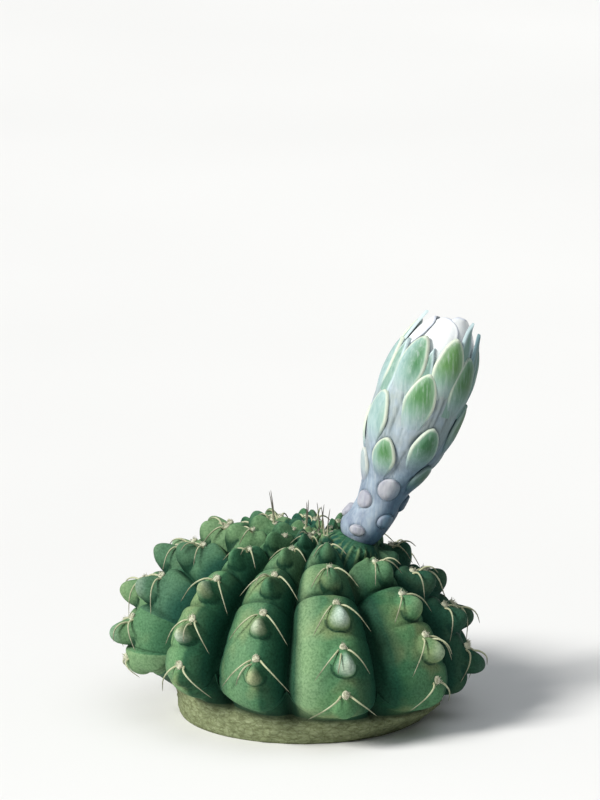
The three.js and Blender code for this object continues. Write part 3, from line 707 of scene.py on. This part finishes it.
class Scale:
    """Scale n of the tube, its heights as shares of the bud's length."""

    def __init__(self, n):
        self.age = n / (SCALES - 1)
        self.leaf = float(smooth(self.age, 0.26, 0.42))  # from round (0) to leafy (1)
        self.azimuth = FIRST_AZIMUTH + n * GOLDEN_TURN
        self.wide = lerp(*SCALE_HALF_WIDTH, smooth(self.age, 0, 0.7))
        self.half = lerp(*SCALE_HALF_LENGTH, smooth(self.age, 0.05, 0.85)) / BUD_LENGTH
        self.middle = np.interp(n, *zip(*SCALE_HEIGHTS))
        self.base = max(self.middle - lerp(1, SCALE_RUN, self.leaf) * self.half, 0.002)
        self.tip = self.middle + self.half

    def outline(self, s):
        return lerp(round_outline(s), leaf_outline(s), self.leaf)


def tube_shape():
    """The tube, swollen where each scale runs down it."""
    made = Shape()
    t = np.linspace(BUD_ROOT, TUBE_TOP, TUBE_ROWS)[:, None]
    azimuth = turns(TUBE_SIDES)[None, :]
    r = tube_radius(t) + 0 * azimuth
    swell, crack = 0 * r, 0 * r
    for scale in map(Scale, range(SCALES)):
        off = np.abs((azimuth - scale.azimuth + math.pi) % math.tau - math.pi) * r
        run = smooth(t, scale.middle - 3.4 * scale.half, scale.middle - scale.half)
        run = run * (1 - smooth(t, scale.middle - scale.half, scale.middle + 0.6 * scale.half))
        swell = np.maximum(swell, run * bump(off, 0.75 * scale.wide) * scale.age)
        crack = np.maximum(crack, run * bump(off - 0.95 * scale.wide, 0.35) * scale.age)
        # A shadow line round the scale, but not where it runs down into the tube.
        s = (t - scale.base) / (scale.tip - scale.base)
        beside = np.abs(off - scale.wide * scale.outline(np.clip(s, 0, 1)))
        beyond = np.maximum(0, np.maximum(s - 1, -s)) * (scale.tip - scale.base) * BUD_LENGTH
        line = bump(np.hypot(beside, beyond), SHADOW_LINE)
        line = line * lerp(1, smooth(s, 0.35, 0.6), scale.leaf)
        crack = np.maximum(crack, 0.8 * line)
    points = bud_point(t, azimuth, r + SCALE_SWELL * swell - CRACK * crack - TUBE_INSET)
    marks = {"height": t, "crack": crack, "side": np.sin(azimuth), "inner": 0}
    first, last = bud_point(BUD_ROOT, 0, 0), bud_point(TUBE_TOP, 0, 0)
    made.rings(first, points, last, inset=9, leaf=0, along=0, tone=0.5, **marks)
    return made


def add_blade(
    shape, base, tip, azimuth, half_width, radius, outline, thickness, arch=0.3, **marks
):
    """A closed blade on the bud's cone, arched across, with a thick rounded margin."""
    s = (1 - np.cos(np.linspace(0, math.pi, BLADE_ROWS + 2)[1:-1])) / 2
    theta = turns(BLADE_SIDES)
    across = np.sign(np.cos(theta)) * np.abs(np.cos(theta)) ** 0.85
    high = np.sign(np.sin(theta)) * np.abs(np.sin(theta)) ** 0.7
    s2 = s[:, None] + 0 * theta
    w2 = across[None, :] + 0 * s2
    wide = half_width * outline(s2)
    length = (tip - base) * BUD_LENGTH
    inset = np.minimum(wide * (1 - np.abs(w2)), length * (1 - s2) * 0.8)
    t = lerp(base, tip, s2)
    margin = 0.25 * bump(inset - 0.3, 0.3) * (high > 0)
    r = radius(t, s2, w2) + high * thickness(s2) / 2 + arch * (1 - w2**2) + margin
    turned = azimuth + w2 * wide / r
    points = bud_point(t, turned, r)
    first, last = (
        bud_point(at, azimuth, radius(at, end, 0) + arch) for end, at in enumerate((base, tip))
    )
    marks |= {"side": np.sin(turned), "inner": high[None, :] < -0.3}
    shape.rings(first, points, last, inset=inset, along=s2, height=t, crack=0, **marks)


# Outlines: half width of a blade from its base (0) to its tip (1), as a share of the widest.
def round_outline(s):
    return np.sqrt(np.maximum(0, 1 - (2 * s - 1) ** 2))


def leaf_outline(s):
    """Narrow where it runs down the tube, ending in a rounded point."""
    return (0.42 + 0.58 * smooth(s, 0, 0.62)) * np.maximum(0, 1 - s**3.2) ** 0.62


def tepal_outline(s):
    return (0.8 + 0.2 * smooth(s, 0, 0.4)) * np.maximum(0, 1 - s**2.2) ** 0.9


def petal_outline(s):
    """Broad, with a round top."""
    return (0.75 + 0.25 * smooth(s, 0, 0.6)) * np.maximum(0, 1 - s**5) ** 0.6


def add_scales(shape):
    random = np.random.default_rng(SEED)
    for scale in map(Scale, range(SCALES)):
        leaf = scale.leaf
        tone = random.uniform(0, 1)
        lift = lerp(0.1, 0.7, scale.age) * random.uniform(0.8, 1.2)
        add_blade(
            shape, scale.base, scale.tip, scale.azimuth, scale.wide,
            radius=lambda t, s, w: (
                tube_radius(t)
                + lerp(-0.05, lerp(-0.5, 0.3, smooth(s, 0, 0.5)), leaf)
                + leaf * (lift * s**2 - 0.7 * s**8)
                - (1 - leaf) * (0.25 * w**2 + 0.8 * (2 * s - 1) ** 4)
            ),
            outline=scale.outline,
            thickness=lambda s: lerp(1.1, 0.8, leaf) * (0.2 + 0.8 * np.sqrt(1 - (2 * s - 1) ** 6)),
            arch=lerp(0.3, 0.5, scale.age), leaf=leaf, tone=tone,
        )


def add_outer_petals(shape):
    random = np.random.default_rng(SEED + 1)
    for n, tip in enumerate(OUTER_TIPS):
        flare = random.uniform(-OUTER_FLARE, OUTER_FLARE)
        azimuth = FIRST_AZIMUTH + (SCALES + n) * GOLDEN_TURN
        add_blade(
            shape, OUTER_BASE, tip, azimuth, OUTER_HALF_WIDTH,
            radius=lambda t, s, w: tube_radius(t) - 0.3 + 0.5 * s + flare * s**4,
            outline=tepal_outline,
            thickness=lambda s: lerp(0.9, 0.5, s),
            arch=0.35, leaf=2, tone=random.uniform(0, 1),
        )


def petal_rise(azimuth):
    """How much higher than the others a petal reaches on this side of the bud."""
    front = np.cos(azimuth)
    rise = front * np.where(front > 0, INNER_FRONT_RISE, INNER_BACK_DROP)
    return rise + INNER_TIP_TILT * np.maximum(0, np.sin(azimuth))


def petal_closing(azimuth):
    """The share of its row's closing by which a petal on this side closes in."""
    return lerp(1, INNER_OPEN, np.maximum(0, -np.sin(azimuth)) ** 2)


def inner_petals_shape():
    """Two rows of white petals, each one's edge over the next."""
    made = Shape()
    for row, (depth, closing, wide, tip) in enumerate(INNER_ROWS):
        for n in range(INNER_COUNT):
            azimuth = INNER_AZIMUTH + math.tau * (n + 0.5 * row) / INNER_COUNT
            close_by = closing * petal_closing(azimuth)
            add_blade(
                made, INNER_BASE, tip + petal_rise(azimuth), azimuth, wide,
                radius=lambda t, s, w: tube_radius(t) - depth - close_by * s**4 + INNER_TWIST * w,
                outline=petal_outline,
                thickness=lambda s: INNER_THICKNESS + 0 * s,
            )
    return made


def heart_shape():
    """Rolled petals that the inner petals stand round."""
    made = Shape()
    azimuth = turns(HEART_SIDES)[None, :]
    up = np.linspace(0, 0.98, HEART_ROWS)[:, None]
    t = lerp(HEART_BASE, HEART_TIP + petal_rise(azimuth), up)
    fold = (HEART_PETALS * azimuth / math.tau + HEART_TWIST * HEART_PETALS * t) % 1
    depth = HEART_DEPTH + HEART_CLOSING * petal_closing(azimuth) * up**4 + HEART_FOLD * fold
    points = bud_point(t, azimuth + 0 * t, (tube_radius(t) - depth) * np.sqrt(1 - up**10))
    first, last = bud_point(HEART_BASE, 0, 0), bud_point(HEART_TIP, 0, 0)
    made.rings(first, points, last, inset=2, along=0.4)
    return made


# ---- Materials ----


class Nodes:
    """A short way to write a node tree."""

    def __init__(self, name):
        self.material = bpy.data.materials.new(name)
        self.material.use_nodes = True
        self.tree = self.material.node_tree
        self.surface = self.tree.nodes["Principled BSDF"]

    def new(self, kind, **settings):
        node = self.tree.nodes.new("ShaderNode" + kind)
        for name, value in settings.items():
            setattr(node, name, value)
        return node

    def link(self, value, socket):
        """Feeds a socket a value, another socket or a mesh's own number by its name."""
        if isinstance(value, str):
            value = self.new("Attribute", attribute_name=value).outputs["Fac"]
        if isinstance(value, bpy.types.NodeSocket):
            self.tree.links.new(value, socket)
        else:
            socket.default_value = value

    def math(self, operation, a, b):
        node = self.new("Math", operation=operation)
        self.link(a, node.inputs[0])
        self.link(b, node.inputs[1])
        return node.outputs[0]

    def times(self, a, b):
        return self.math("MULTIPLY", a, b)

    def ramp(self, value, *stops):
        """A colour or number ramp: stops are (place, colour) or (place, number)."""
        node = self.new("ValToRGB")
        elements = node.color_ramp.elements
        while len(elements) < len(stops):
            elements.new(0.5)
        for element, (place, colour) in zip(elements, stops):
            element.position = place
            grey = not isinstance(colour, tuple)
            element.color = (colour,) * 3 + (1,) if grey else colour + (1,)
        self.link(value, node.inputs[0])
        return node.outputs[0]

    def mix(self, factor, a, b, blend="MIX"):
        node = self.new("Mix", data_type="RGBA", blend_type=blend)
        self.link(factor, node.inputs[0])
        for value, socket in ((a, node.inputs[6]), (b, node.inputs[7])):
            self.link(value + (1,) if isinstance(value, tuple) else value, socket)
        return node.outputs[2]

    def place(self, stretch=(1, 1, 1)):
        """Object coordinates in millimetres, stretched."""
        coordinates = self.new("TexCoord").outputs["Object"]
        scale = self.new("VectorMath", operation="MULTIPLY")
        self.link(coordinates, scale.inputs[0])
        scale.inputs[1].default_value = [s / MM for s in stretch]
        return scale.outputs[0]

    def texture(self, kind, size, vector, **settings):
        """A texture whose features are about so many millimetres long."""
        node = self.new(kind, **settings)
        self.link(vector, node.inputs["Vector"])
        node.inputs["Scale"].default_value = 1 / size
        return node

    def noise(self, size, detail=3, rough=0.5, stretch=(1, 1, 1)):
        node = self.texture("TexNoise", size, self.place(stretch))
        node.inputs["Detail"].default_value = detail
        node.inputs["Roughness"].default_value = rough
        return node.outputs["Fac"]

    def cells(self, size, stretch=(1, 1, 1)):
        """Distance to the edges of irregular cells, their edges wavy."""
        wave = self.texture("TexNoise", size, self.place(stretch))
        bent = self.new("VectorMath", operation="MULTIPLY_ADD")
        self.link(wave.outputs["Color"], bent.inputs[0])
        bent.inputs[1].default_value = (size, size, size)
        self.link(self.place(stretch), bent.inputs[2])
        node = self.texture("TexVoronoi", size, bent.outputs[0], feature="DISTANCE_TO_EDGE")
        return node.outputs["Distance"]

    def bump(self, height, strength, distance_mm):
        node = self.new("Bump")
        node.inputs["Strength"].default_value = strength
        node.inputs["Distance"].default_value = distance_mm * MM
        self.link(height, node.inputs["Height"])
        self.link(node.outputs[0], self.surface.inputs["Normal"])

    def finish(self, colour, roughness, **constants):
        """Sets the surface, with constants such as Sheen_Weight on its own sockets."""
        self.link(colour, self.surface.inputs["Base Color"])
        self.link(roughness, self.surface.inputs["Roughness"])
        for name, value in constants.items():
            self.surface.inputs[name.replace("_", " ")].default_value = value
        return self.material


def stem_material():
    n = Nodes("cactus_skin")
    green = n.ramp(
        n.noise(15),
        (0.32, (0.02, 0.085, 0.045)), (0.5, (0.035, 0.125, 0.06)), (0.68, (0.08, 0.2, 0.08)),
    )
    # The crests' broad faces are painted lighter than the grooves, as painted light, and there are
    # olive patches.
    green = n.mix(n.ramp("groove", (0, 0.4), (0.2, 0)), green, (0.12, 0.25, 0.13))
    green = n.mix(n.ramp(n.noise(10, 2), (0.5, 0), (0.66, 0.55)), green, (0.22, 0.26, 0.12))
    # Painted light and shade: the flank towards -X, the lamp's side, is painted paler, even down in
    # the groove, and the other flank is painted darker.
    green = n.mix(n.times("sunny", 0.65), green, (0.25, 0.38, 0.2))
    green = n.mix(n.times("shaded", 0.85), green, (0.014, 0.066, 0.035))
    # Painted shade: darker and darker down into the grooves, less so on the flank towards -X.
    deep = n.math("SUBTRACT", "groove", n.times("sunny", 0.25))
    green = n.mix(n.ramp(deep, (0.03, 0), (0.3, 0.9)), green, (0.008, 0.05, 0.03))
    green = n.mix(n.ramp(deep, (0.35, 0), (0.75, 0.9)), green, (0.005, 0.032, 0.018))
    # Young tubercles differ among themselves, from bluish to yellowish green.
    own = n.ramp(
        "tone",
        (0.25, (0.02, 0.085, 0.062)), (0.5, (0.06, 0.17, 0.08)), (0.9, (0.17, 0.28, 0.14)),
    )
    green = n.mix(n.ramp("young", (0.1, 0), (0.5, 0.75)), green, own)
    # Painted shade in the cross furrows and in the creases under the noses.
    green = n.mix(n.ramp("furrow", (0.2, 0), (0.85, 0.92)), green, (0.006, 0.036, 0.02))
    # Full-grown chins are pale, bluish on some ribs, olive on others: partly their own colour,
    # partly a painted highlight, palest at the middle of the nose and on the ribs towards the front
    # left, the lamp's side.
    pale = n.ramp(n.noise(26, 1), (0.44, (0.33, 0.37, 0.21)), (0.56, (0.5, 0.62, 0.55)))
    green = n.mix(n.ramp("chin", (0.25, 0), (0.65, 0.35), (1, 0.92)), green, pale)
    # The fine folds by the bud are yellowish, and the +X side, away from the lamp, is darkened to
    # deep bluish green as painted shade.
    green = n.mix(n.ramp("fold", (0.1, 0), (0.9, 0.6)), green, (0.2, 0.3, 0.14))
    green = n.mix(n.ramp("side", (0.84, 0), (0.97, 0.85)), green, (0.01, 0.05, 0.035))
    # A velvety grain of small light and dark cells.
    grain = n.noise(0.55, rough=0.6)
    green = n.mix(n.ramp(grain, (0.5, 0), (0.75, 0.5)), green, (1.7, 1.6, 1.6), "MULTIPLY")
    green = n.mix(n.ramp(grain, (0.3, 0.5), (0.5, 0)), green, (0.3, 0.45, 0.33), "MULTIPLY")
    cork = n.ramp(
        n.noise(2, 5, 0.7, (1, 1, 3)),
        (0.3, (0.11, 0.125, 0.06)), (0.5, (0.2, 0.235, 0.125)), (0.72, (0.31, 0.35, 0.21)),
    )
    cracks = n.ramp(n.cells(2.2, (1, 1, 1.5)), (0, 1), (0.12, 0))
    cork = n.mix(n.times(cracks, 0.35), cork, (0.06, 0.065, 0.03))
    corky = n.ramp(n.math("ADD", "cork", n.times(n.noise(3), 0.3)), (0.4, 0), (0.75, 1))
    colour = n.mix(corky, green, cork)
    # Painted shade: a dark band under the ribs' foot.
    colour = n.mix(n.times("under", 0.9), colour, (0.008, 0.026, 0.014))
    rough = n.math("ADD", n.noise(0.5), n.times(n.noise(2.5), 1.5))
    rough = n.math("SUBTRACT", rough, n.times(n.times(cracks, corky), 1.5))
    n.bump(rough, 0.35, 0.12)
    dull = n.math("ADD", n.noise(6), n.times(corky, 0.5))
    return n.finish(colour, n.ramp(dull, (0.3, 0.55), (1, 0.9)), Specular_IOR_Level=0.06)


def spine_material():
    n = Nodes("spine_horn")
    straw = n.ramp(
        "along",
        (0, (0.3, 0.26, 0.13)), (0.12, (0.45, 0.46, 0.28)),
        (0.5, (0.36, 0.39, 0.24)), (0.85, (0.1, 0.1, 0.06)),
    )
    colour = n.mix(n.ramp(n.noise(1.2), (0.35, 0), (0.7, 0.4)), straw, (0.6, 0.62, 0.42))
    # The upright young ones have dark tips.
    dark = n.times("young", n.ramp("along", (0.2, 0), (0.55, 0.9)))
    colour = n.mix(dark, colour, (0.07, 0.06, 0.05))
    n.bump(n.noise(0.3, 2), 0.3, 0.04)
    return n.finish(colour, n.ramp(n.noise(2), (0.3, 0.35), (0.7, 0.5)))


def wool_material():
    n = Nodes("areole_felt")
    colour = n.ramp(n.noise(0.7), (0.3, (0.36, 0.36, 0.24)), (0.6, (0.58, 0.59, 0.45)))
    n.bump(n.noise(0.2), 0.6, 0.08)
    return n.finish(colour, n.ramp(n.noise(1), (0.3, 0.85), (0.7, 0.95)), Sheen_Weight=0.3)


def bud_material():
    n = Nodes("bud_wax")
    fibres = n.noise(0.7, 4, 0.65, (1, 1, 0.12))
    bare = n.ramp(
        "height",
        (0, (0.2, 0.25, 0.34)), (0.25, (0.21, 0.27, 0.35)),
        (0.45, (0.27, 0.32, 0.34)), (0.8, (0.36, 0.43, 0.4)),
    )
    bare = n.mix(n.ramp(n.noise(4, 4), (0.42, 0), (0.66, 0.7)), bare, (0.36, 0.45, 0.54))
    # Painted shade in the cracks beside the scales and along the shadow line round each.
    bare = n.mix(n.ramp("crack", (0.1, 0), (0.9, 0.75)), bare, (0.06, 0.09, 0.1))
    # Low round scales: lavender grey.
    button = n.ramp(n.noise(3, 2), (0.3, (0.32, 0.33, 0.4)), (0.7, (0.44, 0.44, 0.48)))
    # Leafy scales: green hearts in pale thick margins, running down into the tube.
    heart = n.mix("tone", (0.05, 0.19, 0.075), (0.12, 0.27, 0.09))
    flesh = n.mix("tone", (0.2, 0.38, 0.25), (0.27, 0.42, 0.25))
    inner = n.mix(n.ramp(n.times("inset", 0.4), (0.2, 0), (0.85, 1)), flesh, heart)
    blade = n.mix(n.ramp("along", (0.3, 0), (0.62, 1)), (0.26, 0.4, 0.36), inner)
    rim = n.ramp("along", (0.25, 0), (0.55, 1))
    rim = n.times(rim, n.ramp("inset", (0.25, 1), (0.85, 0)))
    # The side towards -X, facing the lamp, is painted lighter, to a bluish white, as painted light;
    # the rims are creamy.
    painted_light_side = n.ramp(n.times("side", -1), (0.5, 0), (0.8, 0.75))
    blade = n.mix(painted_light_side, blade, (0.36, 0.5, 0.52))
    blade = n.mix(rim, blade, (0.6, 0.66, 0.54))
    blade = n.mix("inner", blade, (0.55, 0.64, 0.6))
    blade = n.mix(n.ramp("along", (0.1, 0), (0.4, 1)), bare, blade)
    tepal = n.mix(n.ramp("inset", (0.3, 0), (1, 1)), (0.5, 0.62, 0.64), (0.22, 0.36, 0.3))
    tepal = n.mix("inner", tepal, (0.8, 0.84, 0.86))
    colour = n.mix(n.ramp("leaf", (0, 0), (1, 1)), button, blade)
    colour = n.mix(n.ramp(n.math("SUBTRACT", "leaf", 1), (0.2, 0), (0.8, 1)), colour, tepal)
    colour = n.mix(n.ramp(n.times("inset", 0.1), (0.7, 0), (0.8, 1)), colour, bare)
    colour = n.mix(n.ramp(fibres, (0.5, 0), (0.75, 0.4)), colour, (0.55, 0.62, 0.62))
    colour = n.mix(n.ramp(fibres, (0.28, 0.5), (0.48, 0)), colour, (0.45, 0.55, 0.62), "MULTIPLY")
    # Painted shade: the +X side, away from the lamp, is darkened to deep blue to green, and the low
    # tube on that side is bluer still.
    colour = n.mix(n.ramp("side", (0.25, 0), (0.95, 0.85)), colour, (0.12, 0.26, 0.3), "MULTIPLY")
    low = n.ramp("height", (0.2, 1), (0.6, 0))
    low = n.times(low, n.ramp("side", (0, 0), (0.5, 0.95)))
    colour = n.mix(low, colour, (0.22, 0.42, 0.54), "MULTIPLY")
    n.bump(n.math("ADD", fibres, n.noise(0.6, 2)), 0.3, 0.08)
    return n.finish(colour, n.ramp(fibres, (0.3, 0.45), (0.7, 0.62)), Specular_IOR_Level=0.35)


def petal_material():
    n = Nodes("petal_white")
    veins = n.noise(0.8, 3, 0.5, (1, 1, 0.12))
    colour = n.ramp("along", (0, (0.66, 0.74, 0.74)), (0.5, (0.84, 0.87, 0.88)))
    colour = n.mix(n.ramp(veins, (0.5, 0), (0.8, 0.3)), colour, (0.6, 0.68, 0.78))
    colour = n.mix(n.ramp("inset", (0.1, 0.5), (0.35, 0)), colour, (0.55, 0.6, 0.76))
    n.bump(veins, 0.3, 0.06)
    return n.finish(colour, n.ramp(veins, (0.3, 0.45), (0.7, 0.6)))


# ---- Stage: floor, lights and camera ----


def make_stage():
    mesh = bpy.data.meshes.new("floor")
    half = FLOOR_HALF * MM
    corners = [(-half, -half, 0), (half, -half, 0), (half, half, 0), (-half, half, 0)]
    mesh.from_pydata(corners, [], [(0, 1, 2, 3)])
    n = Nodes("floor_paper")
    shade = n.ramp(n.noise(400, 2), (0.3, 0.8), (0.7, 0.84))
    mesh.materials.append(n.finish(shade, 0.9))
    floor = add_object("floor", mesh)


def make_light():
    world = bpy.data.worlds.new("studio")
    bpy.context.scene.world = world
    world.use_nodes = True
    background = world.node_tree.nodes["Background"]
    background.inputs[0].default_value = (0.93, 0.97, 1, 1)
    background.inputs[1].default_value = 0.2
    for name, strength, azimuth, elevation, softness, colour in (
        ("key", 4.2, -58, 37, 20, (1, 0.98, 0.94)),
        ("sky", 0.7, 60, 78, 60, (0.93, 0.97, 1)),
    ):
        light = bpy.data.lights.new(name, "SUN")
        light.energy = strength
        light.angle = math.radians(softness)
        light.color = colour
        a, e = math.radians(azimuth), math.radians(elevation)
        from_there = Vector((math.sin(a) * math.cos(e), -math.cos(a) * math.cos(e), math.sin(e)))
        lamp = add_object(name, light)
        lamp.rotation_euler = from_there.to_track_quat("Z", "Y").to_euler()


def make_camera():
    camera = bpy.data.cameras.new("camera")
    camera.sensor_width = 36
    camera.lens = LENS
    eye = add_object("camera", camera)
    back = Vector((0, -math.cos(ELEVATION), math.sin(ELEVATION)))
    eye.location = (Vector(AIM) + back * DISTANCE) * MM
    eye.rotation_euler = back.to_track_quat("Z", "Y").to_euler()
    bpy.context.scene.camera = eye


# ---- The plant ----


def make_plant():
    mesh_object("stem_skin", stem_shape(), stem_material(), replaces="stem")
    mesh_object("spines", spines_shape(), spine_material(), replaces="stem")
    mesh_object("areole_wool", wool_shape(), wool_material())
    tube = tube_shape()
    add_scales(tube)
    add_outer_petals(tube)
    mesh_object("bud_scales", tube, bud_material(), replaces="flower_tube")
    petals = petal_material()
    mesh_object("petals", inner_petals_shape(), petals, replaces="inner_petals")
    mesh_object("petal_heart", heart_shape(), petals, replaces="inner_petals")


bpy.context.scene.view_settings.view_transform = "Standard"
make_camera()
make_stage()
make_light()
make_plant()
